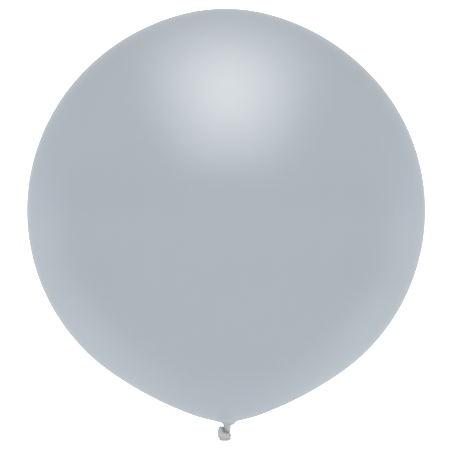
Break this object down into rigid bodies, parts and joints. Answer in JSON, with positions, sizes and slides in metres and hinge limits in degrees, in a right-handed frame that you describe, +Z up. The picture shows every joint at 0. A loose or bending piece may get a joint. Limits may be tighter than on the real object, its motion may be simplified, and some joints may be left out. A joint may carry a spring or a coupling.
{
  "type": "giant round latex balloon",
  "caption": "Round latex balloon of giant size, inflated and tied: a seamless pearl film envelope with a short pleated neck, an overhand knot and a flattened tail with a rolled bead.",
  "frame": {"origin": "middle of the envelope's widest circle, which is where the surrounding air holds the balloon", "axes": "+Z up, away from the neck, along the envelope's axis; -Y the front, the side that the tail hangs on; +X to the right as seen from the front"},
  "size_m": [0.9, 0.9, 0.9762],
  "materials": {
    "envelope_film": "stretched latex with a silver-grey pearl pigment, satin and softly metallic, roughness about 0.3",
    "neck_film": "pleated pearl latex, less stretched and so thicker, matt and a little less blue",
    "knot_film": "unstretched pearl latex in tight folds, a little less blue, matt to satin",
    "bead_film": "rolled pearl latex, smooth and a touch paler than the knot, satin"
  },
  "bodies": {
    "root": {"envelope": "envelope_film", "neck": "neck_film", "knot": "knot_film", "tail": "knot_film", "mouth_bead": "bead_film"}
  },
  "joints": []
}
